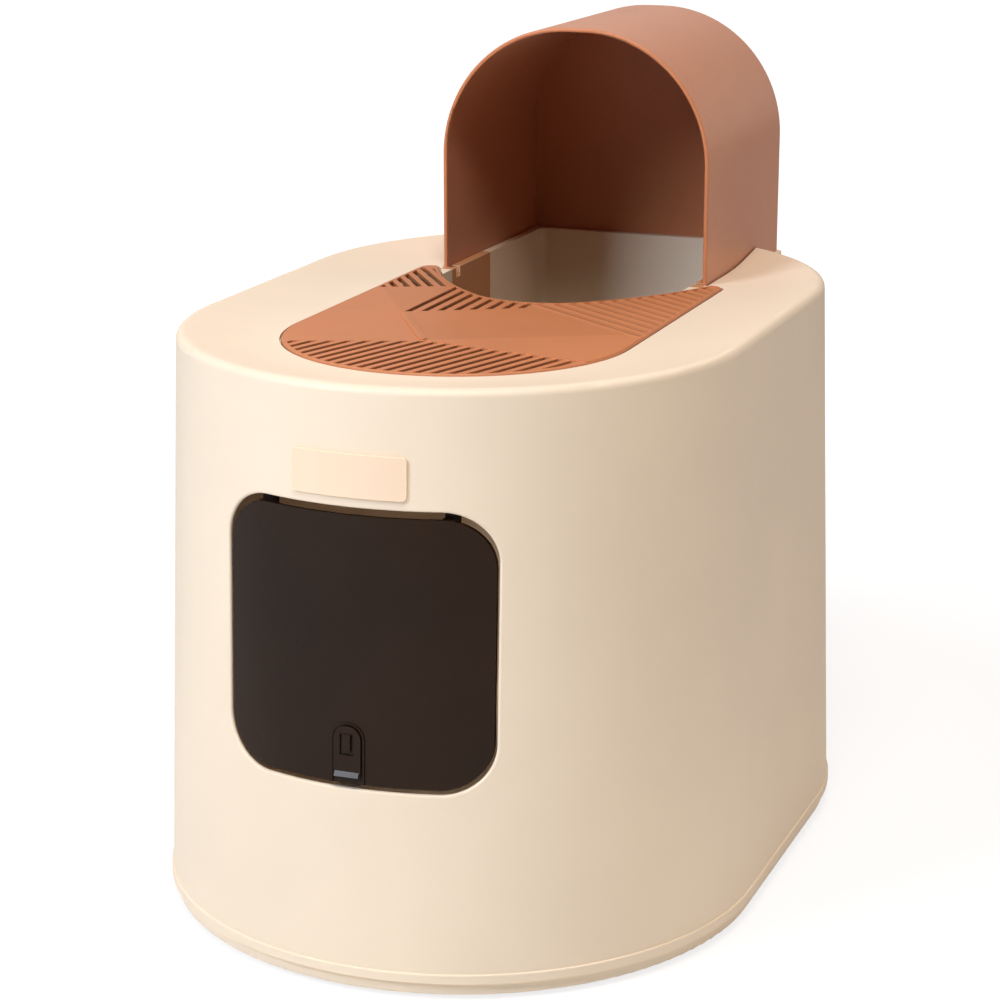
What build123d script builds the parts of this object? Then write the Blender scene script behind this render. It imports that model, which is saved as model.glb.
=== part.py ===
from build123d import *
from math import atan2, cos, degrees, hypot, radians, sin, sqrt, tan
import os

# Semi-enclosed litter box, millimetres, +Z up, front towards -Y.
# The origin is on the floor, below the middle of the whole object's box.

# Body: a stadium plan with drafted walls and a flat-backed spine under the hood
body_radius = 201.0
body_straight = 180.0
rim_height = 385.0
draft_angle = 2.06
shell_wall = 3.0
rim_fillet = 5.0
rim_land = 6.5
dish_slope_width = 40.0
dish_depth = 6.0
dish_foot_radius = 200.0
dish_rim_radius = 12.0

# Foot of the shell, standing on the pan's flange
foot_band_height = 10.0
foot_band_wall = 4.5
bead_height = 6.0
bead_depth = 1.0
bead_fillet = 0.9
shadow_gap_height = 2.0
shadow_gap_depth = 2.0

# Pan
pan_underside = 3.0
pan_floor = 3.0
pan_flange_height = 7.0
pan_flange_inset = 2.0
pan_gap = 1.0
pan_wall = 2.5
pan_below_sill = 22.0
pan_floor_fillet = 10.0
pan_edge_fillet = 2.0

# Rubber feet
foot_radius = 9.0
foot_socket_depth = 1.0
foot_chamfer = 0.75
foot_spread_x = 115.0
foot_spread_y = 150.0
foot_middle_x = 150.0

# Hood
hood_width = 201.0
hood_front = 117.0
hood_back = 306.0
hood_height = 184.0
hood_top_flat = 13.0
hood_wall = 3.0
hood_front_fillet = 1.2
hood_back_fillet = 2.0
tongue_width = 14.0
tongue_thickness = 2.0
tongue_depth = 6.0
tongue_inset = 35.0
tongue_clearance = 0.3

# Seat of the hood on the deck
collar_clearance = 0.6
groove_clearance = 1.2
groove_depth = 7.0
seat_wall = 2.5
ledge_width = 6.5
ledge_setback = 7.0
chute_wall = 2.5
chute_depth = 90.0
spine_corner_radius = 6.0

# Entry hole's front, three arcs that also shape the mat's rear edge
vee_tip = 13.5
vee_radius = 62.0
vee_turn = 40.0
vee_side_radius = 225.0
vee_side_angle = 64.0
hole_corner_radius = 6.0

# Tread mat
mat_half_width = 115.0
mat_front_centre = 101.5
mat_gap_to_hood = 1.5
mat_corner_radius = 9.0
mat_thickness = 4.0
mat_proud = 1.0
mat_clearance = 1.2
mat_edge_chamfer = 1.2
mat_land = 8.0
mat_bar_width = 4.0
mat_bar_spacing = 75.0
mat_bar_count = 3
slot_width = 4.6
slot_border = 3.0
front_slot_pitch = 9.2
front_slot_angle = 72.0
rim_slot_pitch = 9.6
rim_slot_angle = 90.0
side_slot_pitch = 8.3
side_slot_angle = -55.0
ridge_pitch = 9.9
ridge_crest = 1.0
ridge_depth = 1.3
ridge_angle = -36.6
crease_height = 0.9
crease_width = 5.0
crease_end_gap = 2.0
leaf_height = 0.4

# Corners of the mat's pattern, seen from above
fold_low = (-14.0, -127.0)
fold_high = (-62.0, -50.0)
front_left = (-93.0, -156.0)
front_right = (98.0, -148.0)
leaf_tip = (100.0, -65.0)
rim_low = (-64.0, -48.0)
rim_tip = (11.0, -6.0)
ridge_start = (0.0, 10.0)
side_low = (-115.0, 24.0)
side_high = (-66.0, 46.0)
side_end = (-98.0, 104.0)
rim_slot_start = (-59.7, 0.0)
side_slot_start = (-71.0, 44.5)

# Door opening and door
opening_width = 178.0
opening_below_rim = 74.0
opening_height = 177.0
opening_radius = 32.0
opening_fillet = 1.5
door_side_gap = 1.5
door_bottom_gap = 3.0
door_top_gap = 5.0
door_recess = 1.5
door_thickness = 2.5

# Door hinge
pin_radius = 2.0
pin_running_clearance = 0.05
pin_height_over_opening = 9.0
ear_inner = 56.0
ear_width = 8.0
knuckle_radius = 5.0
ear_root = 20.0
lug_gap = 2.0
lug_width = 6.0
pin_head_radius = 3.0
pin_head_thickness = 1.0
pin_end_margin = 1.0
bracket_thickness = 3.0
bracket_seat_behind_pin = 4.0
bracket_wall_gap = 1.6
bracket_plate_width = 22.0
bracket_plate_height = 32.0
bracket_below_pin = 6.0
boss_radius = 4.0
screw_radius = 1.4
screw_clearance = 0.1
screw_head_radius = 2.8
screw_head_height = 1.8
screw_length = 9.0
screw_slot_width = 0.6
screw_slot_depth = 0.5
screws_per_bracket = 2
screw_from_lug = 9.0
screw_lower = 10.0
screw_pitch = 11.0

# Slide lock on the door
lock_frame_width = 22.0
lock_frame_height = 39.0
lock_frame_line = 1.0
lock_frame_proud = 0.8
lock_top_flat = 1.0
slider_height = 32.5
slider_side_gap = 1.0
slider_thickness = 1.9
slider_gap = 0.3
slider_travel = 6.5
thumb_groove_width = 9.4
thumb_groove_height = 13.5
thumb_groove_low = 14.0
thumb_groove_depth = 1.2
thumb_tongue_width = 4.6
thumb_tongue_gap = 2.4
thumb_tongue_proud = 0.7
thumb_ridge_low = 0.5
thumb_ridge_height = 3.0
thumb_ridge_proud = 1.8
stem_width = 5.0
stem_height = 6.0
stem_clearance = 0.4
bolt_width = 16.0
bolt_thickness = 2.0
bolt_below_door = 1.8
bolt_gap = 0.5
pocket_clearance = 0.6
pocket_wall = 2.5
pocket_height = 17.0
pocket_floor = 5.0

# Name plate
plate_width = 75.0
plate_height = 26.5
plate_over_opening = 6.6
plate_radius = 3.0
plate_proud = 1.6
plate_seat_gap = 0.02

# How far a cutter runs past what it cuts
cut_margin = 1.0

# Derived places
centre_y = body_straight / 2
draft = tan(radians(draft_angle))
flange_top = pan_underside + pan_flange_height
deck_height = rim_height - dish_depth
seat_height = deck_height - groove_depth
seat_underside = seat_height - shell_wall
hood_half = hood_width / 2
hood_corner_radius = hood_half - hood_top_flat / 2
spine_half = hood_half + groove_clearance + seat_wall
spine_back = hood_back + groove_clearance + seat_wall
spine_front = centre_y
collar_half = hood_half - hood_wall - collar_clearance
collar_back = hood_back - hood_wall - collar_clearance
hole_half = collar_half - ledge_width
hole_back = collar_back - ledge_width
mat_top = deck_height + mat_proud
mat_bottom = mat_top - mat_thickness
mat_rear = hood_front - mat_gap_to_hood
front_extent = centre_y + body_radius + bead_depth
opening_top = rim_height - opening_below_rim
opening_bottom = opening_top - opening_height
pan_wall_top = opening_bottom - pan_below_sill
pin_z = opening_top + pin_height_over_opening
bore_radius = pin_radius + pin_running_clearance
lug_inner = ear_inner + ear_width + lug_gap
# The whole object's middle lies off the plan's middle because of the spine
shift_y = (front_extent - spine_back) / 2


def radius_at(height):
    return body_radius - draft * (height - flange_top)


def wall_at(x, height, depth=0.0):
    """Y of the front wall at x, depth behind its outer face."""
    return -centre_y - sqrt((radius_at(height) - depth) ** 2 - x**2)


# Hinge brackets, seated just inside the wall at their upper outer corner
bracket_low = pin_z - bracket_below_pin
bracket_high = bracket_low + bracket_plate_height
bracket_seat = wall_at(lug_inner + bracket_plate_width, bracket_high, shell_wall) + bracket_wall_gap
pin_y = bracket_seat - bracket_seat_behind_pin


def obround(radius):
    return Rot(0, 0, 90) * SlotCenterToCenter(body_straight, 2 * radius)


def upright(outline, low, high):
    return extrude(Pos(0, 0, low) * outline, amount=high - low)


def drafted(offset, low, high):
    """Body outline grown by offset, following the wall's draft from low to high."""
    outline = Pos(0, 0, low) * obround(radius_at(low) + offset)
    return extrude(outline, amount=high - low, taper=draft_angle)


def block(x0, x1, y0, y1, z0, z1):
    return Pos((x0 + x1) / 2, (y0 + y1) / 2, (z0 + z1) / 2) * Box(x1 - x0, y1 - y0, z1 - z0)


def plan(x0, x1, y0, y1):
    return Pos((x0 + x1) / 2, (y0 + y1) / 2) * Rectangle(x1 - x0, y1 - y0)


def front_prism(width, bottom, height, radius):
    """Rounded rectangle seen from the front, run through the front wall."""
    outline = RectangleRounded(width, height, radius)
    place = Plane(origin=(0, 0, bottom + height / 2), x_dir=(1, 0, 0), z_dir=(0, -1, 0))
    return extrude(place * outline, amount=front_extent + shell_wall)


def rod(x, y, z, radius, reach):
    """Round bar from y to y + reach."""
    return Pos(x, y + reach / 2, z) * Rot(90, 0, 0) * Cylinder(radius, reach)


def cross_rod(x0, x1, y, z, radius):
    """Round bar along X from x0 to x1."""
    return Pos((x0 + x1) / 2, y, z) * Rot(0, 90, 0) * Cylinder(radius, abs(x1 - x0))


def vee_point(angle, offset):
    """Point right of the middle where the hole's front edge, moved back by offset, has this slope."""
    turn = radians(min(angle, vee_turn))
    slope = radians(angle)
    nose = vee_radius - offset
    side = vee_side_radius - offset if angle > vee_turn else 0.0
    x = nose * sin(turn) + side * (sin(slope) - sin(turn))
    y = vee_tip + vee_radius - nose * cos(turn) + side * (cos(turn) - cos(slope))
    return x, y


def mirrored(point):
    return -point[0], point[1]


def vee_face(offset, reach):
    """Area behind the hole's front edge, moved by offset towards the rear, out to reach on both sides."""
    tip = vee_point(0, offset)
    turn = vee_point(vee_turn, offset)
    middle = vee_point((vee_turn + vee_side_angle) / 2, offset)
    end = vee_point(vee_side_angle, offset)
    top = (reach, end[1] + (reach - end[0]) * tan(radians(vee_side_angle)))
    far = (reach, top[1] + spine_back)
    nose = ThreePointArc(mirrored(turn), tip, turn)
    right = ThreePointArc(turn, middle, end)
    left = ThreePointArc(mirrored(turn), mirrored(middle), mirrored(end))
    rest = Polyline(end, top, far, mirrored(far), mirrored(top), mirrored(end))
    return make_face(Curve() + [nose, right, left, rest])


def hole_plan(grow=0.0):
    """Entry hole grown by grow."""
    half = hole_half + grow
    back = hole_back + grow
    frame = fillet(plan(-half, half, 0, back).vertices().group_by(Axis.Y)[-1], hole_corner_radius + grow)
    return frame & vee_face(-grow, body_radius)


def mat_plan(grow=0.0):
    """Tread mat grown by grow: round front, straight sides, rear edge along the rounded V."""
    half = mat_half_width + grow
    rear = mat_rear + grow
    body = plan(-half, half, -mat_front_centre, rear)
    body = fillet(body.vertices().group_by(Axis.Y)[-1], mat_corner_radius + grow)
    body += Pos(0, -mat_front_centre) * Circle(half)
    return body - vee_face(grow, body_radius)


def spine_plan(grow=0.0):
    outline = plan(-spine_half - grow, spine_half + grow, spine_front, spine_back + grow)
    return fillet(outline.vertices().group_by(Axis.Y)[-1], spine_corner_radius + grow)


def base_plan(grow=0.0):
    """Plan of the shell at its foot, grown by grow."""
    return obround(body_radius + grow) + spine_plan(grow)


def screw_places(side):
    x = side * (lug_inner + screw_from_lug)
    return [(x, pin_z + screw_lower + i * screw_pitch) for i in range(screws_per_bracket)]


def place(part, name):
    """Move a part from the plan's middle to the object's own origin and write it."""
    export_step(Pos(0, shift_y, 0) * part, "parts/" + name + ".step")


# Shell
def make_dish():
    outer = radius_at(rim_height) - rim_land
    low = Pos(0, 0, deck_height) * obround(outer - dish_slope_width)
    high = Pos(0, 0, rim_height) * obround(outer)
    dish = loft([low, high], ruled=True)
    return fillet(dish.faces().sort_by(Axis.Z)[0].edges(), dish_foot_radius)


def make_skin():
    """Outside of the shell as one solid block."""
    body = drafted(0, flange_top, rim_height)
    body = fillet(body.faces().sort_by(Axis.Z)[-1].edges(), rim_fillet)
    body -= make_dish()
    land = body.faces().sort_by(Axis.Z)[-1]
    body = fillet(land.inner_wires()[0].edges(), dish_rim_radius)
    body -= front_prism(opening_width, opening_bottom, opening_height, opening_radius)
    mouth = body.edges().filter_by(lambda e: e.center().Y < -body_radius)
    mouth = mouth.filter_by_position(Axis.Z, opening_bottom - shell_wall, opening_top + shell_wall)
    body = fillet(mouth, opening_fillet)
    return body + upright(spine_plan(), flange_top, seat_height)


def make_cavity():
    """Inside of the shell, from the foot's mouth to the deck's underside."""
    low = flange_top + foot_band_height
    cavity = drafted(-shell_wall, low, rim_height - shell_wall)
    cavity -= Pos(0, 0, -shell_wall) * make_dish()
    cavity += upright(spine_plan(-shell_wall), low, seat_underside)
    return cavity + upright(base_plan(-foot_band_wall), flange_top, low)


def make_bead():
    low = flange_top + shadow_gap_height
    bead = upright(base_plan(bead_depth), low, low + bead_height)
    return fillet(bead.faces().sort_by(Axis.Z)[-1].edges(), bead_fillet)


def make_seat(skin):
    """Material that carries the hood: a shelf, the collar inside the hood and the chute's walls."""
    shelf = block(
        -spine_half, spine_half, hood_front - seat_wall, spine_back, seat_underside, rim_height
    )
    collar = upright(plan(-collar_half, collar_half, centre_y, collar_back), seat_underside, deck_height)
    chute = upright(hole_plan(chute_wall), deck_height - chute_depth, deck_height)
    return (shelf & skin) + collar + chute


def cut_hood_seat(shell):
    """Flat ledge inside the hood, groove for the hood's edge and sockets for its tongues."""
    outer = plan(
        -hood_half - groove_clearance, hood_half + groove_clearance, hood_front, spine_back + bead_depth
    )
    collar = plan(-collar_half, collar_half, hood_front + ledge_setback, collar_back)
    shell -= upright(outer, deck_height, rim_height + rim_fillet)
    shell -= upright(outer - collar, seat_height, deck_height)
    shell -= upright(hole_plan(), deck_height - chute_depth, rim_height)
    for x, y in tongue_places():
        wide = tongue_thickness / 2 + tongue_clearance
        long = tongue_width / 2 + tongue_clearance
        shell -= block(x - wide, x + wide, y - long, y + long, seat_underside, seat_height)
    return shell


def mat_bars():
    bars = Sketch()
    for i in range(mat_bar_count):
        y = (i - mat_bar_count + 1) * mat_bar_spacing
        bars += plan(-mat_half_width, mat_half_width, y - mat_bar_width / 2, y + mat_bar_width / 2)
    return bars


def cut_mat_recess(shell):
    """Recess of the mat, open below except for its land and cross bars."""
    shell -= upright(mat_plan(mat_clearance), mat_bottom, rim_height)
    return shell - upright(mat_plan(-mat_land) - mat_bars(), mat_bottom - shell_wall, mat_bottom)


def tongue_places():
    x = hood_half - hood_wall / 2
    rows = (hood_front + tongue_inset, hood_back - tongue_inset)
    return [(side * x, y) for side in (-1, 1) for y in rows]


def add_bosses(shell, inside):
    """Bosses of the hinge brackets, run out to the wall."""
    for side in (-1, 1):
        for x, z in screw_places(side):
            shell += rod(x, wall_at(0, 0), z, boss_radius, bracket_seat - wall_at(0, 0)) & inside
            hole = screw_radius + screw_clearance
            shell -= rod(x, bracket_seat - screw_length, z, hole, screw_length)
    return shell


def add_lock_pocket(shell, inside):
    """Pocket behind the sill, into which the bolt drops."""
    top = opening_bottom - opening_fillet
    low = top - pocket_height
    half = bolt_width / 2 + pocket_clearance
    front = wall_at(0, top, door_recess) + door_thickness + bolt_gap
    back = front + bolt_thickness + pocket_clearance
    outer = half + pocket_wall
    shell += block(-outer, outer, wall_at(0, 0), back + pocket_wall, low, top) & inside
    return shell - block(-half, half, front - pocket_clearance, back, low + pocket_floor, top)


def make_shell():
    skin = make_skin()
    tray = upright(mat_plan(mat_clearance + seat_wall), mat_bottom - shell_wall, deck_height)
    base_gap = base_plan(bead_depth) - base_plan(-shadow_gap_depth)
    shell = skin + make_bead() - make_cavity()
    shell -= upright(base_gap, flange_top, flange_top + shadow_gap_height)
    shell += make_seat(skin) + tray
    shell = cut_hood_seat(shell)
    shell = cut_mat_recess(shell)
    inside = drafted(-shell_wall / 2, flange_top, rim_height)
    shell = add_bosses(shell, inside)
    return add_lock_pocket(shell, inside)


# Pan and feet
def foot_places():
    corners = [(x, y) for x in (-foot_spread_x, foot_spread_x) for y in (-foot_spread_y, foot_spread_y)]
    return corners + [(-foot_middle_x, 0), (foot_middle_x, 0)]


def make_pan():
    base = upright(base_plan(-pan_flange_inset), pan_underside, flange_top)
    base = fillet(base.faces().sort_by(Axis.Z)[0].edges(), pan_edge_fillet)
    tub_offset = -foot_band_wall - pan_gap
    pan = base + drafted(tub_offset, flange_top, pan_wall_top)
    floor = pan_underside + pan_floor
    inside = drafted(tub_offset - pan_wall, floor, pan_wall_top)
    inside = fillet(inside.faces().sort_by(Axis.Z)[0].edges(), pan_floor_fillet)
    pan -= inside
    for x, y in foot_places():
        pan -= upright(Pos(x, y) * Circle(foot_radius), pan_underside, pan_underside + foot_socket_depth)
    return pan


def make_feet():
    top = pan_underside + foot_socket_depth
    foot = upright(Circle(foot_radius), 0, top)
    foot = chamfer(foot.faces().sort_by(Axis.Z)[0].edges(), foot_chamfer)
    return Compound([Pos(x, y, 0) * foot for x, y in foot_places()])


# Hood
def arch_plan(grow):
    """Hood's outline seen from the front, grown by grow, its foot at the seat."""
    half = hood_half + grow
    top = hood_height + grow
    radius = hood_corner_radius + grow
    outline = Rectangle(2 * half, top, align=(Align.CENTER, Align.MIN))
    return fillet(outline.vertices().group_by(Axis.Y)[-1], radius)


def arch(grow, front, back, low):
    """Arch-shaped bar from front to back, on low."""
    place = Plane(origin=(0, front, low), x_dir=(1, 0, 0), z_dir=(0, -1, 0))
    return extrude(place * arch_plan(grow), amount=front - back)


def make_hood():
    hood = arch(0, hood_front, hood_back, seat_height)
    rear = hood.faces().sort_by(Axis.Y)[-1]
    rear_edges = rear.edges().filter_by(lambda e: e.center().Z > seat_height + hood_wall)
    hood = fillet(rear_edges, hood_back_fillet)
    hood -= arch(-hood_wall, hood_front - hood_wall, hood_back - hood_wall, seat_height)
    rim = hood.faces().sort_by(Axis.Y)[0]
    rim_edges = rim.edges().filter_by(lambda e: e.center().Z > seat_height + hood_wall)
    hood = fillet(rim_edges, hood_front_fillet)
    for x, y in tongue_places():
        thick = tongue_thickness / 2
        wide = tongue_width / 2
        hood += block(x - thick, x + thick, y - wide, y + wide, seat_height - tongue_depth, seat_height)
    return hood


# Tread mat
def polygon(*points):
    return make_face(Polyline(*points, close=True))


mat_reach = mat_front_centre + mat_half_width + mat_rear


def rows(start, angle, pitch):
    """Places of parallel rows at one angle and pitch across the whole mat, one of them through start."""
    count = round(mat_reach / pitch)
    return [Pos(*start) * Rot(0, 0, angle) * Pos(0, i * pitch) for i in range(-count, count + 1)]


def hatch(region, start, angle, pitch):
    """Slots kept where they cross the region."""
    bars = Sketch()
    for row in rows(start, angle, pitch):
        bars += row * Rectangle(2 * mat_reach, slot_width)
    return bars & region


def mat_slots():
    """Slots that let litter through: along the front, by the rim of the hole and by the left side."""
    reach = mat_half_width + mat_clearance
    low = -mat_front_centre - reach
    left = (-reach, front_left[1])
    right = (reach, front_right[1])
    front = polygon(left, front_left, fold_low, front_right, right, (reach, low), (-reach, low))
    rim = polygon(rim_low, rim_tip, (rim_tip[0], mat_rear), (rim_low[0], mat_rear))
    side = polygon(side_low, side_high, side_end, (side_low[0], side_end[1]))
    return (
        hatch(front, fold_low, front_slot_angle, front_slot_pitch)
        + hatch(rim, rim_slot_start, rim_slot_angle, rim_slot_pitch)
        + hatch(side, side_slot_start, side_slot_angle, side_slot_pitch)
    )


def mat_grooves(kept):
    """V-shaped grooves between the ridges of the tread on the right."""
    reach = mat_half_width + mat_clearance
    drop = (reach - ridge_start[0]) * tan(radians(ridge_angle))
    corner = (reach, ridge_start[1] + drop)
    region = polygon(ridge_start, corner, (reach, mat_rear), (ridge_start[0], mat_rear))
    field = upright(region & kept, mat_top - 2 * ridge_depth, mat_top + ridge_depth)
    half = ridge_pitch - ridge_crest
    wedge = polygon((-half, ridge_depth), (half, ridge_depth), (0, -ridge_depth))
    lengthwise = Plane(origin=(-mat_reach, 0, mat_top), x_dir=(0, 1, 0), z_dir=(1, 0, 0))
    bar = extrude(lengthwise * wedge, amount=2 * mat_reach)
    return [row * bar & field for row in rows(ridge_start, ridge_angle, ridge_pitch)]


def mat_relief():
    """Raised crease between the panels and the raised panel at the front right."""
    dx = fold_low[0] - fold_high[0]
    dy = fold_low[1] - fold_high[1]
    middle = Pos((fold_low[0] + fold_high[0]) / 2, (fold_low[1] + fold_high[1]) / 2)
    length = hypot(dx, dy) - 2 * crease_end_gap
    crease = middle * Rot(0, 0, degrees(atan2(dy, dx))) * SlotOverall(length, crease_width)
    outer_tip = (mat_half_width, leaf_tip[1])
    leaf = polygon(fold_low, leaf_tip, outer_tip, (mat_half_width, front_right[1]), front_right)
    leaf = leaf & mat_plan(-mat_edge_chamfer)
    relief = upright(crease, mat_top - crease_height, mat_top + crease_height)
    return relief + upright(leaf, mat_top - leaf_height, mat_top + leaf_height)


def make_mat():
    kept = mat_plan(-slot_border)
    mat = upright(mat_plan(), mat_bottom, mat_top)
    mat = chamfer(mat.faces().sort_by(Axis.Z)[-1].edges(), mat_edge_chamfer)
    mat += mat_relief()
    for groove in mat_grooves(kept):
        if groove:
            mat -= groove
    return mat - upright(mat_slots() & kept, mat_bottom, mat_top + crease_height)


# Name plate
def make_name_plate():
    bottom = opening_top + plate_over_opening
    band = drafted(plate_proud, bottom - shell_wall, bottom + plate_height + shell_wall)
    band -= drafted(plate_seat_gap, bottom - 2 * shell_wall, bottom + plate_height + 2 * shell_wall)
    return band & front_prism(plate_width, bottom, plate_height, plate_radius)


# Door and its hinge
def door_skin(outer, inner):
    """Band that follows the front wall between two depths behind its outer face."""
    low = opening_bottom - shell_wall
    high = opening_top + shell_wall
    return drafted(-outer, low, high) - drafted(-inner, low - cut_margin, high + cut_margin)


def make_ear(side):
    """Arm from the door's upper edge up to the pin, behind the wall."""
    x0 = side * ear_inner
    x1 = side * (ear_inner + ear_width)
    top = opening_top - door_top_gap
    wall_y = wall_at(x1, top, door_recess + door_thickness)
    low = top - ear_root
    arm = Polyline(
        (wall_y - door_thickness, low),
        (wall_y - door_thickness, top),
        (wall_y + door_thickness, top),
        (pin_y - knuckle_radius, pin_z),
        (pin_y + knuckle_radius, pin_z),
        (wall_y + door_thickness, low),
        close=True,
    )
    face = Plane(origin=(min(x0, x1), 0, 0), x_dir=(0, 1, 0), z_dir=(1, 0, 0)) * make_face(arm)
    return extrude(face, amount=ear_width) + cross_rod(x0, x1, pin_y, pin_z, knuckle_radius)


def make_door():
    width = opening_width - 2 * door_side_gap
    height = opening_height - door_bottom_gap - door_top_gap
    bottom = opening_bottom + door_bottom_gap
    outline = front_prism(width, bottom, height, opening_radius - door_side_gap)
    door = door_skin(door_recess, door_recess + door_thickness) & outline
    outer = drafted(-door_recess, opening_bottom - shell_wall, pin_z + 2 * knuckle_radius)
    for side in (-1, 1):
        door += make_ear(side) & outer
    door += make_lock_frame()
    for side in (-1, 1):
        near = side * (ear_inner - cut_margin)
        far = side * (ear_inner + ear_width + cut_margin)
        door -= cross_rod(near, far, pin_y, pin_z, bore_radius)
    return door - make_stem_slot()


def make_pin(side):
    head = side * (ear_inner - pin_head_thickness)
    end = side * (lug_inner + lug_width + pin_end_margin)
    pin = cross_rod(head, end, pin_y, pin_z, pin_radius)
    return pin + cross_rod(head, side * ear_inner, pin_y, pin_z, pin_head_radius)


def make_bracket(side):
    """Plate screwed to two bosses, with a lug that holds the pin."""
    x0 = side * lug_inner
    x1 = side * (lug_inner + bracket_plate_width)
    back = bracket_seat + bracket_thickness
    plate = block(min(x0, x1), max(x0, x1), bracket_seat, back, bracket_low, bracket_high)
    lug_end = side * (lug_inner + lug_width)
    lug_top = pin_z + bracket_below_pin
    lug = block(min(x0, lug_end), max(x0, lug_end), pin_y, bracket_seat, bracket_low, lug_top)
    bracket = plate + lug + cross_rod(x0, lug_end, pin_y, pin_z, bracket_below_pin)
    margin = side * cut_margin
    bracket -= cross_rod(x0 - margin, lug_end + margin, pin_y, pin_z, bore_radius)
    for x, z in screw_places(side):
        bracket -= rod(x, bracket_seat, z, screw_radius + screw_clearance, bracket_thickness)
    return bracket


def make_screws():
    """Screws through the brackets, driven from inside."""
    screws = []
    back = bracket_seat + bracket_thickness
    for side in (-1, 1):
        for x, z in screw_places(side):
            screw = rod(x, back - screw_length, z, screw_radius, screw_length)
            screw += rod(x, back, z, screw_head_radius, screw_head_height)
            crown = back + screw_head_height
            slot = Box(2 * screw_head_radius, 2 * screw_slot_depth, screw_slot_width)
            screws.append(screw - Pos(x, crown, z) * slot)
    return Compound(screws)


# Slide lock, drawn on the door's outer face at its middle
lock_foot = opening_bottom + door_bottom_gap
lock_plane = Plane(
    origin=(0, wall_at(0, lock_foot, door_recess), lock_foot),
    x_dir=(1, 0, 0),
    z_dir=(0, -cos(radians(draft_angle)), sin(radians(draft_angle))),
)
slider_low = lock_frame_height - lock_frame_line - slider_side_gap - slider_height
slider_half = lock_frame_width / 2 - lock_frame_line - slider_side_gap
stem_low = slider_low + slider_height / 2 - stem_height / 2


def round_top(half, low, high):
    """Plate with a round top, from low to high."""
    outline = Pos(0, low) * Rectangle(2 * half, high - low, align=(Align.CENTER, Align.MIN))
    return fillet(outline.vertices().group_by(Axis.Y)[-1], half - lock_top_flat / 2)


def on_lock(outline, near, far):
    """Outline raised from near to far, measured outwards from the door's outer face."""
    return extrude(lock_plane.offset(near) * outline, amount=far - near)


def make_lock_frame():
    half = lock_frame_width / 2
    ring = round_top(half, 0, lock_frame_height)
    ring -= round_top(half - lock_frame_line, 0, lock_frame_height - lock_frame_line)
    return on_lock(ring, -door_thickness / 2, lock_frame_proud)


def stem_plan(grow, travel):
    height = stem_height + travel + 2 * grow
    low = stem_low - travel - grow
    return Pos(0, low + height / 2) * Rectangle(stem_width + 2 * grow, height)


def make_stem_slot():
    return on_lock(stem_plan(stem_clearance, slider_travel), -2 * door_thickness, door_thickness)


def bar_plan(width, low, high):
    return Pos(0, (low + high) / 2) * Rectangle(width, high - low)


def make_thumb_ridge():
    """Wedge that the thumb pushes, its slope facing upwards."""
    low = slider_low + thumb_ridge_low
    foot = slider_gap
    crest = slider_thickness + thumb_ridge_proud
    high = low + thumb_ridge_height
    outline = polygon((low, foot), (low, crest), (high, slider_thickness), (high, foot))
    across = Plane(origin=(0, 0, 0), x_dir=(0, 1, 0), z_dir=(1, 0, 0))
    wedge = extrude(across * outline, amount=slider_half - slider_side_gap, both=True)
    return lock_plane.location * wedge


def make_slider():
    top = slider_low + slider_height
    slider = on_lock(round_top(slider_half, slider_low, top), slider_gap, slider_thickness)
    groove_low = slider_low + thumb_groove_low
    groove_top = groove_low + thumb_groove_height
    groove = bar_plan(thumb_groove_width, groove_low, groove_top)
    tongue = bar_plan(thumb_tongue_width, groove_low + thumb_tongue_gap, groove_top)
    slider -= on_lock(groove - tongue, slider_thickness - thumb_groove_depth, slider_thickness)
    slider += on_lock(tongue, slider_gap, slider_thickness + thumb_tongue_proud)
    return slider + make_thumb_ridge() + on_lock(stem_plan(0, 0), -door_thickness - bolt_gap, slider_gap)


def make_bolt():
    top = stem_low + stem_height + bolt_thickness
    height = top + bolt_below_door
    outline = Pos(0, top - height / 2) * RectangleRounded(bolt_width, height, bolt_thickness)
    near = -door_thickness - bolt_gap
    return on_lock(outline, near - bolt_thickness, near)


os.makedirs("parts", exist_ok=True)
place(make_pan(), "litter_pan")
place(make_feet(), "pan_feet")
place(make_shell(), "shell")
place(make_hood(), "hood")
place(make_mat(), "tread_mat")
place(make_name_plate(), "name_plate")
place(make_door(), "entry_door")
place(make_screws(), "bracket_screws")
place(make_slider(), "lock_slider")
place(make_bolt(), "lock_bolt")
for side, word in ((-1, "left"), (1, "right")):
    place(make_bracket(side), word + "_hinge_bracket")
    place(make_pin(side), word + "_hinge_pin")
print("origin moved by", shift_y)
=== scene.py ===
from math import cos, radians, sin

import bpy
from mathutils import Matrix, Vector

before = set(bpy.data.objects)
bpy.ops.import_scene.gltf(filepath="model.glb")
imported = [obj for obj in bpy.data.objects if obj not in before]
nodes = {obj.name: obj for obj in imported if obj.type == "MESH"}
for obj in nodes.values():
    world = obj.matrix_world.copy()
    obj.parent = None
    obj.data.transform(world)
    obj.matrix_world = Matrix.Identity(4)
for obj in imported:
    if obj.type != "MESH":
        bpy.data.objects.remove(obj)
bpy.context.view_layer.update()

# Places and lengths are in metres, in the part's frame.

# Camera at the photograph's viewing angle: degrees to the right of the front, degrees up, lens in mm
CAMERA_PLACE = (0.6368, -1.6801, 0.7472)
CAMERA_AZIMUTH = 21.18
CAMERA_ELEVATION = 15.78
CAMERA_LENS = 96.06

# Base colours as display values, 0 to 1
CREAM = (0.958, 0.893, 0.800)
TERRACOTTA = (0.795, 0.510, 0.340)
MAT_TERRACOTTA = (0.790, 0.505, 0.330)
PEACH = (0.988, 0.878, 0.765)
SMOKE = (0.160, 0.100, 0.052)
RUBBER = (0.70, 0.64, 0.55)
STEEL = (0.72, 0.72, 0.71)
FLOOR = (0.96, 0.96, 0.955)

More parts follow.
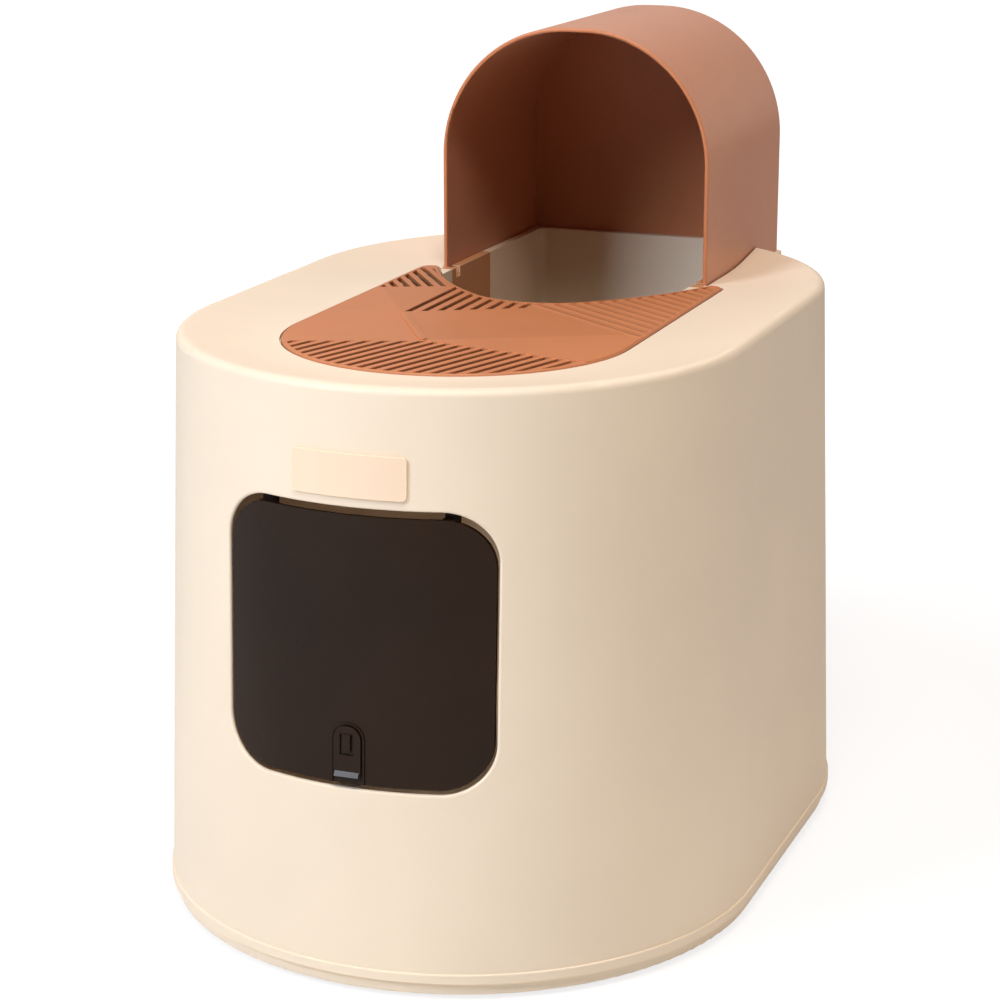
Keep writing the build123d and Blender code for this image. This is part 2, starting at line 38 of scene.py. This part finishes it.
# Lamps: a cool soft key from the front left and a warm soft light high up in front. The colours of
# the lamps and of the room are linear values
KEY_PLACE = (-1.20, -1.92, 1.75)
KEY_SIZE = 0.9
KEY_POWER = 39
KEY_COLOUR = (0.90, 1.0, 1.15)
HIGH_PLACE = (0.34, -1.08, 2.58)
HIGH_SIZE = 0.9
HIGH_POWER = 39
HIGH_COLOUR = (1.0, 0.89, 0.79)
LAMP_TARGET = (0, 0, 0.25)

# Room that lights the object from all round: its strength in front of and behind the object, and
# the Y of the directions at which these two are reached
ROOM_COLOUR = (0.96, 0.84, 0.78)
ROOM_FRONT = 0.04
ROOM_BACK = 0.72
ROOM_FRONT_Y = -0.5
ROOM_BACK_Y = 0.7

# Floor: half its width, and its roughness where it isn't seen directly. Seen directly, it is a glow
# that rises with the distance, from FADE_START to FADE_END, and over it a dark paint that takes the
# light, so that the object's shadow shows
FLOOR_HALF = 12.0
FLOOR_ROUGHNESS = 0.9
FLOOR_GLOW_NEAR = 0.80
FLOOR_GLOW_FAR = 1.0
FLOOR_PAINT = 0.25
FADE_START = 0.5
FADE_END = 1.1

# Painted highlight, a paler colour along the edges: its reach, and the cosines of the turn at which it is
# full and gone
EDGE_REACH = 0.0011
EDGE_SAMPLES = 4
EDGE_FULL = 0.80
EDGE_GONE = 0.97

# Noise: the values that most of it lies between, the scale and detail of the colour's clouding and
# of the fine grain, the grain's height, and how far it takes the roughness up and down
NOISE_MIN = 0.3
NOISE_MAX = 0.7
CLOUD_SCALE = 6.0
CLOUD_DETAIL = 3.0
GRAIN_SCALE = 900.0
GRAIN_DETAIL = 2.0
GRAIN_HEIGHT = 0.0004
ROUGHNESS_SPREAD = 0.05

# Smoked plastic
SMOKE_CLOUD_SCALE = 9.0
SMOKE_CLOUD_DETAIL = 2.0
SMOKE_DARK = 0.88
SMOKE_LIGHT = 1.12
SMOKE_GRAIN_SCALE = 60.0
SMOKE_ROUGHNESS = (0.16, 0.24)
SMOKE_IOR = 1.49
SMOKE_GLOSS = 0.12
SMOKE_CLEARNESS = 0.12

# Zinc-plated steel
STEEL_GRAIN_SCALE = 400.0
STEEL_GRAIN_DETAIL = 3.0
STEEL_DARK = 0.85
STEEL_ROUGHNESS = (0.25, 0.45)

# Tread mat: the points, seen from above, that its panels meet between, the painted light and painted
# shade that make the two panels on the right lighter and darker as if tilted to the lamps, and the
# painted shade in its slots and grooves with the heights at which it is full and gone
FOLD = (-0.014, -0.136)
LEAF_TIP = (0.100, -0.074)
RIM_POINT = (-0.062, -0.059)
LEAF_PAINTED_LIGHT = 1.02
REAR_PAINTED_SHADE = 0.93
GROOVE_PAINTED_SHADE = 0.55
GROOVE_LOW = 0.3783
GROOVE_HIGH = 0.3797

# Painted shade, terracotta brown for painted bounce light off the hood, on the front of the chute's side
# walls, and where it lies: distance aside, depth and height
CHUTE_PAINTED_SHADE = (0.80, 0.56, 0.38)
SHADE_ASIDE = (0.085, 0.100)
SHADE_DEPTH = (0.10, 0.176)
SHADE_HEIGHT = (0.28, 0.3845)

# Middle of the hood's vault, and the painted shade on the hood's inside, as a factor on its colour
VAULT = (0.0, 0.20, 0.45)
INSIDE_PAINTED_SHADE = 0.86


def linear(colour):
    """Display colour to the linear values that the shader takes."""
    return tuple(c / 12.92 if c <= 0.04045 else ((c + 0.055) / 1.055) ** 2.4 for c in colour)


def shade(colour, factor):
    """Display colour made darker or lighter by one factor."""
    return tuple(min(1.0, c * factor) for c in colour)


def new_material(name):
    """Material with only a Principled shader, and that shader."""
    material = bpy.data.materials.new(name)
    material.use_nodes = True
    tree = material.node_tree
    tree.nodes.clear()
    output = tree.nodes.new("ShaderNodeOutputMaterial")
    shader = tree.nodes.new("ShaderNodeBsdfPrincipled")
    tree.links.new(shader.outputs["BSDF"], output.inputs["Surface"])
    return material, shader


def object_coords(tree):
    return tree.nodes.new("ShaderNodeTexCoord").outputs["Object"]


def noise(tree, scale, detail, coords):
    """Noise from 0 to 1, most of it between NOISE_MIN and NOISE_MAX."""
    node = tree.nodes.new("ShaderNodeTexNoise")
    node.inputs["Scale"].default_value = scale
    node.inputs["Detail"].default_value = detail
    tree.links.new(coords, node.inputs["Vector"])
    return node.outputs["Fac"]


def ramp(tree, value, low, high, from_min=NOISE_MIN, from_max=NOISE_MAX):
    """Value stretched from from_min and from_max to low and high, and held at these beyond them."""
    node = tree.nodes.new("ShaderNodeMapRange")
    node.inputs["From Min"].default_value = from_min
    node.inputs["From Max"].default_value = from_max
    node.inputs["To Min"].default_value = low
    node.inputs["To Max"].default_value = high
    tree.links.new(value, node.inputs["Value"])
    return node.outputs["Result"]


def mix(tree, factor, first, second):
    """First colour where the factor is 0, second where it is 1. Each is a display colour or a socket."""
    node = tree.nodes.new("ShaderNodeMix")
    node.data_type = "RGBA"
    tree.links.new(factor, node.inputs["Factor"])
    for value, socket in ((first, node.inputs["A"]), (second, node.inputs["B"])):
        if isinstance(value, tuple):
            socket.default_value = (*linear(value), 1)
        else:
            tree.links.new(value, socket)
    return node.outputs["Result"]


def mix_shaders(tree, factor, first, second):
    """First shader where the factor is 0, second where it is 1."""
    node = tree.nodes.new("ShaderNodeMixShader")
    for value, socket in zip((factor, first, second), node.inputs):
        tree.links.new(value, socket)
    return node.outputs[0]


def maths(tree, operation, first, second):
    """Result of one operation on two values, each a socket or a number."""
    node = tree.nodes.new("ShaderNodeMath")
    node.operation = operation
    for value, socket in ((first, node.inputs[0]), (second, node.inputs[1])):
        if isinstance(value, (int, float)):
            socket.default_value = value
        else:
            tree.links.new(value, socket)
    return node.outputs[0]


def vector_maths(tree, operation, first, second, output="Vector"):
    """Result of one operation on two vectors, each a socket or a tuple."""
    node = tree.nodes.new("ShaderNodeVectorMath")
    node.operation = operation
    for value, socket in ((first, node.inputs[0]), (second, node.inputs[1])):
        if isinstance(value, tuple):
            socket.default_value = value
        else:
            tree.links.new(value, socket)
    return node.outputs[output]


def scaled(tree, colour, factor):
    """Colour socket made darker or lighter by one factor."""
    node = tree.nodes.new("ShaderNodeVectorMath")
    node.operation = "SCALE"
    tree.links.new(colour, node.inputs[0])
    node.inputs["Scale"].default_value = factor
    return node.outputs["Vector"]


def split(tree, vector):
    """The X, Y and Z of a vector socket."""
    node = tree.nodes.new("ShaderNodeSeparateXYZ")
    tree.links.new(vector, node.inputs[0])
    return node.outputs["X"], node.outputs["Y"], node.outputs["Z"]


def between(tree, value, limits):
    """1 between the two limits, 0 outside them."""
    above = maths(tree, "GREATER_THAN", value, limits[0])
    below = maths(tree, "LESS_THAN", value, limits[1])
    return maths(tree, "MULTIPLY", above, below)


def beside_line(tree, coords, start, end):
    """1 to the right of the line from start to end, seen from above, and 0 to its left."""
    across = (end[1] - start[1], start[0] - end[0], 0.0)
    offset = vector_maths(tree, "SUBTRACT", coords, (*start, 0.0))
    side = vector_maths(tree, "DOT_PRODUCT", offset, across, "Value")
    return maths(tree, "GREATER_THAN", side, 0.0)


def painted_mat_shading(tree, coords, base):
    """Tread mat: painted light on the leaf, painted shade behind its fold and in slots and grooves."""
    right = maths(tree, "SUBTRACT", 1.0, beside_line(tree, coords, RIM_POINT, FOLD))
    front = beside_line(tree, coords, FOLD, LEAF_TIP)
    leaf = mix(tree, front, scaled(tree, base, REAR_PAINTED_SHADE), scaled(tree, base, LEAF_PAINTED_LIGHT))
    panels = mix(tree, right, base, leaf)
    height = split(tree, coords)[2]
    raised = ramp(tree, height, 0, 1, GROOVE_LOW, GROOVE_HIGH)
    return mix(tree, raised, scaled(tree, panels, GROOVE_PAINTED_SHADE), panels)


def painted_chute_shade(tree, coords, base):
    """Shell: painted shade with a painted terracotta bounce light on the front of the chute's side walls."""
    x, y, z = split(tree, coords)
    aside = maths(tree, "ABSOLUTE", x, 0.0)
    plan = maths(tree, "MULTIPLY", between(tree, aside, SHADE_ASIDE), between(tree, y, SHADE_DEPTH))
    shaded = maths(tree, "MULTIPLY", plan, between(tree, z, SHADE_HEIGHT))
    return mix(tree, shaded, base, CHUTE_PAINTED_SHADE)


def painted_vault_shade(tree, coords, base):
    """Hood: painted shade, a darker colour, on the faces that look at the middle of the vault."""
    normal = tree.nodes.new("ShaderNodeTexCoord").outputs["Normal"]
    outward = vector_maths(tree, "SUBTRACT", coords, VAULT)
    facing = vector_maths(tree, "DOT_PRODUCT", normal, outward, "Value")
    inside = maths(tree, "LESS_THAN", facing, 0.0)
    return mix(tree, inside, base, scaled(tree, base, INSIDE_PAINTED_SHADE))


def near_edge(tree):
    """1 along the edges of the mesh, falling to 0 within EDGE_REACH of them."""
    rounded = tree.nodes.new("ShaderNodeBevel")
    rounded.samples = EDGE_SAMPLES
    rounded.inputs["Radius"].default_value = EDGE_REACH
    geometry = tree.nodes.new("ShaderNodeNewGeometry")
    turn = vector_maths(tree, "DOT_PRODUCT", rounded.outputs["Normal"], geometry.outputs["Normal"], "Value")
    return ramp(tree, turn, 1, 0, EDGE_FULL, EDGE_GONE)


def moulded_plastic(
    name, colour, roughness, grain=GRAIN_SCALE, bump=0.05, spread=0.035, edge_highlight=1.05, sheen=0.0, paint=None
):
    """Moulded plastic with faint clouding of the colour, fine grain and paler edges as a painted highlight.

    grain is the grain's scale and bump its strength. spread is how far the clouding darkens the colour,
    which it lightens half as far. The edge factor makes the edges paler, a painted highlight, and paint
    is a function that changes the colour by place.
    """
    material, shader = new_material(name)
    tree = material.node_tree
    coords = object_coords(tree)
    cloud = ramp(tree, noise(tree, CLOUD_SCALE, CLOUD_DETAIL, coords), 0, 1)
    fine = noise(tree, grain, GRAIN_DETAIL, coords)
    base = mix(tree, cloud, shade(colour, 1 - spread), shade(colour, 1 + spread / 2))
    if paint:
        base = paint(tree, coords, base)
    # Painted highlight: the colour paler along the edges
    tinted = mix(tree, near_edge(tree), base, shade(colour, edge_highlight))
    tree.links.new(tinted, shader.inputs["Base Color"])
    rough = ramp(tree, fine, roughness - ROUGHNESS_SPREAD, roughness + ROUGHNESS_SPREAD)
    tree.links.new(rough, shader.inputs["Roughness"])
    shader.inputs["Sheen Weight"].default_value = sheen
    height = tree.nodes.new("ShaderNodeBump")
    height.inputs["Strength"].default_value = bump
    height.inputs["Distance"].default_value = GRAIN_HEIGHT
    tree.links.new(fine, height.inputs["Height"])
    tree.links.new(height.outputs["Normal"], shader.inputs["Normal"])
    return material


def smoked_plastic():
    """Smoked plastic with a weak gloss and faint clouding, which lets a little light through."""
    material, shader = new_material("smoked_plastic")
    tree = material.node_tree
    coords = object_coords(tree)
    cloud = ramp(tree, noise(tree, SMOKE_CLOUD_SCALE, SMOKE_CLOUD_DETAIL, coords), 0, 1)
    base = mix(tree, cloud, shade(SMOKE, SMOKE_DARK), shade(SMOKE, SMOKE_LIGHT))
    tree.links.new(base, shader.inputs["Base Color"])
    fine = noise(tree, SMOKE_GRAIN_SCALE, GRAIN_DETAIL, coords)
    tree.links.new(ramp(tree, fine, *SMOKE_ROUGHNESS), shader.inputs["Roughness"])
    shader.inputs["IOR"].default_value = SMOKE_IOR
    shader.inputs["Specular IOR Level"].default_value = SMOKE_GLOSS
    shader.inputs["Transmission Weight"].default_value = SMOKE_CLEARNESS
    return material


def zinc_steel():
    """Zinc-plated steel with a fine grain in its colour and gloss."""
    material, shader = new_material("zinc_steel")
    tree = material.node_tree
    grain = noise(tree, STEEL_GRAIN_SCALE, STEEL_GRAIN_DETAIL, object_coords(tree))
    tree.links.new(mix(tree, grain, shade(STEEL, STEEL_DARK), STEEL), shader.inputs["Base Color"])
    tree.links.new(ramp(tree, grain, *STEEL_ROUGHNESS), shader.inputs["Roughness"])
    shader.inputs["Metallic"].default_value = 1.0
    return material


# Every moulded plastic is paler along its edges, a painted highlight
cream = moulded_plastic("cream_plastic", CREAM, roughness=0.48, spread=0.02)
# Shell: painted shade on the front of its chute's side walls
shell_cream = moulded_plastic("shell_plastic", CREAM, roughness=0.48, spread=0.02, paint=painted_chute_shade)
# Hood: painted shade on its inside
terracotta = moulded_plastic(
    "terracotta_plastic", TERRACOTTA, roughness=0.36, spread=0.05, edge_highlight=1.10, sheen=0.12, paint=painted_vault_shade
)
# Tread mat: painted light and shade on its panels, painted shade in its slots and grooves
mat_terracotta = moulded_plastic(
    "mat_plastic", MAT_TERRACOTTA, roughness=0.55, bump=0.12, spread=0.06, edge_highlight=1.12, paint=painted_mat_shading
)
peach = moulded_plastic("plate_plastic", PEACH, roughness=0.4)
rubber = moulded_plastic("foot_rubber", RUBBER, roughness=0.75, grain=500.0, bump=0.2)
smoked = smoked_plastic()
steel = zinc_steel()

MATERIALS = {
    "litter_pan": cream,
    "pan_feet": rubber,
    "shell": shell_cream,
    "hood": terracotta,
    "tread_mat": mat_terracotta,
    "name_plate": peach,
    "entry_door": smoked,
    "lock_slider": smoked,
    "lock_bolt": smoked,
    "left_hinge_bracket": cream,
    "right_hinge_bracket": cream,
    "left_hinge_pin": steel,
    "right_hinge_pin": steel,
    "bracket_screws": steel,
}
for name, material in MATERIALS.items():
    for place in nodes[name].material_slots:
        place.material = material


def seen_directly(tree):
    """1 for a ray from the camera or one that has come through smoked plastic, 0 for all others."""
    path = tree.nodes.new("ShaderNodeLightPath")
    return maths(tree, "MAXIMUM", path.outputs["Is Camera Ray"], path.outputs["Is Transmission Ray"])


def floor_material():
    """White but for the object's soft shadow where seen directly, a plain pale floor to other rays."""
    material, shader = new_material("floor_paint")
    tree = material.node_tree
    shader.inputs["Base Color"].default_value = (*linear(FLOOR), 1)
    shader.inputs["Roughness"].default_value = FLOOR_ROUGHNESS
    shader.inputs["Specular IOR Level"].default_value = 0.0
    glow = tree.nodes.new("ShaderNodeEmission")
    reach = vector_maths(tree, "LENGTH", object_coords(tree), (0.0, 0.0, 0.0), "Value")
    fade = ramp(tree, reach, FLOOR_GLOW_NEAR, FLOOR_GLOW_FAR, FADE_START, FADE_END)
    tree.links.new(fade, glow.inputs["Strength"])
    paint = tree.nodes.new("ShaderNodeBsdfDiffuse")
    paint.inputs["Color"].default_value = (FLOOR_PAINT, FLOOR_PAINT, FLOOR_PAINT, 1)
    both = tree.nodes.new("ShaderNodeAddShader")
    tree.links.new(glow.outputs[0], both.inputs[0])
    tree.links.new(paint.outputs[0], both.inputs[1])
    surface = mix_shaders(tree, seen_directly(tree), shader.outputs[0], both.outputs[0])
    output = next(n for n in tree.nodes if n.type == "OUTPUT_MATERIAL")
    tree.links.new(surface, output.inputs["Surface"])
    return material


def make_floor():
    """Floor so wide that its far edge is lost in the white behind it."""
    mesh = bpy.data.meshes.new("floor")
    corners = [(x * FLOOR_HALF, y * FLOOR_HALF, 0) for x, y in ((-1, -1), (1, -1), (1, 1), (-1, 1))]
    mesh.from_pydata(corners, [], [(0, 1, 2, 3)])
    floor = bpy.data.objects.new("floor", mesh)
    bpy.context.scene.collection.objects.link(floor)
    mesh.materials.append(floor_material())


def area_light(name, place, size, power, colour):
    data = bpy.data.lights.new(name, "AREA")
    data.shape = "SQUARE"
    data.size = size
    data.energy = power
    data.color = colour
    light = bpy.data.objects.new(name, data)
    light.location = place
    light.rotation_euler = (Vector(LAMP_TARGET) - Vector(place)).to_track_quat("-Z", "Y").to_euler()
    bpy.context.scene.collection.objects.link(light)


def make_world():
    """White where seen directly, and to other rays a warm room that is brighter behind the object."""
    world = bpy.data.worlds.new("studio")
    bpy.context.scene.world = world
    world.use_nodes = True
    tree = world.node_tree
    tree.nodes.clear()
    output = tree.nodes.new("ShaderNodeOutputWorld")
    white = tree.nodes.new("ShaderNodeBackground")
    white.inputs["Color"].default_value = (1, 1, 1, 1)
    white.inputs["Strength"].default_value = 1.0
    room = tree.nodes.new("ShaderNodeBackground")
    room.inputs["Color"].default_value = (*ROOM_COLOUR, 1)
    direction = tree.nodes.new("ShaderNodeTexCoord").outputs["Generated"]
    backward = split(tree, direction)[1]
    strength = ramp(tree, backward, ROOM_FRONT, ROOM_BACK, ROOM_FRONT_Y, ROOM_BACK_Y)
    tree.links.new(strength, room.inputs["Strength"])
    surface = mix_shaders(tree, seen_directly(tree), room.outputs[0], white.outputs[0])
    tree.links.new(surface, output.inputs["Surface"])


make_floor()
make_world()
area_light("key", KEY_PLACE, KEY_SIZE, KEY_POWER, KEY_COLOUR)
area_light("high", HIGH_PLACE, HIGH_SIZE, HIGH_POWER, HIGH_COLOUR)

camera_data = bpy.data.cameras.new("camera")
camera_data.lens = CAMERA_LENS
camera = bpy.data.objects.new("camera", camera_data)
azimuth, elevation = radians(CAMERA_AZIMUTH), radians(CAMERA_ELEVATION)
back = Vector((sin(azimuth) * cos(elevation), -cos(azimuth) * cos(elevation), sin(elevation)))
camera.location = CAMERA_PLACE
camera.rotation_euler = back.to_track_quat("Z", "Y").to_euler()
bpy.context.scene.collection.objects.link(camera)
bpy.context.scene.camera = camera
bpy.context.scene.view_settings.view_transform = "Standard"
